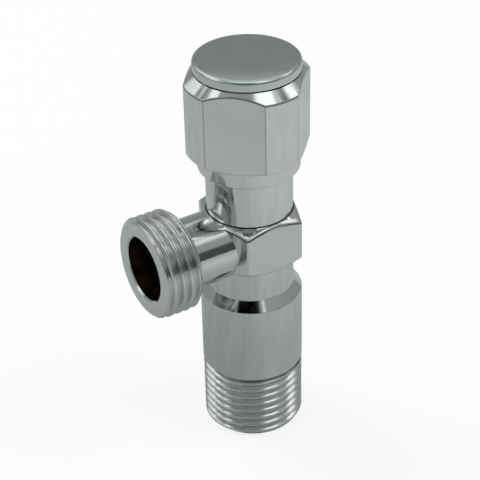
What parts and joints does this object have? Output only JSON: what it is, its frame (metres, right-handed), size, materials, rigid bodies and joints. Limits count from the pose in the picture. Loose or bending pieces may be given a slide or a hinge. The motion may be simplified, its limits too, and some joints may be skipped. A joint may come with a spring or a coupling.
{
  "type": "angle valve",
  "caption": "Quarter-turn angle valve in chromed brass with a male threaded inlet below, a male threaded side outlet and a turning knob on top.",
  "frame": {"origin": "centre of the inlet's end face", "axes": "+Z along the valve's axis towards the handle, outlet along -Y"},
  "size_m": [0.0252, 0.0373, 0.0846],
  "materials": {
    "chromed_brass": "polished chrome plate",
    "chromed_zinc": "polished chrome plate",
    "chromed_cap": "polished chrome plate",
    "turned_brass": "turned",
    "spring_steel": "dark, oiled",
    "stainless_steel": "bright",
    "black_rubber": "matt",
    "white_nylon": "moulded",
    "ceramic": "lapped ceramic"
  },
  "bodies": {
    "body": {"valve_body": "chromed_brass", "cartridge_housing": "turned_brass", "housing_seal_ring": "black_rubber", "seat_seal": "black_rubber", "seal_support_ring": "white_nylon", "fixed_disc": "ceramic", "thrust_washer": "white_nylon"},
    "handle_and_spindle": {"spindle": "turned_brass", "lower_spindle_ring": "black_rubber", "upper_spindle_ring": "black_rubber", "moving_disc": "ceramic", "stop_ring": "turned_brass", "spindle_clip": "spring_steel", "spline_adapter": "white_nylon", "handle": "chromed_zinc", "screw_flat_washer": "stainless_steel", "screw_spring_washer": "spring_steel", "handle_screw": "stainless_steel", "handle_cap": "chromed_cap", "cap_ring": "black_rubber"}
  },
  "joints": [
    {"name": "handle_turn", "type": "hinge", "parent": "body", "child": "handle_and_spindle", "pos_m": [0, 0, 0.0703], "axis": [0, 0, 1], "range_deg": [0, 90]}
  ]
}
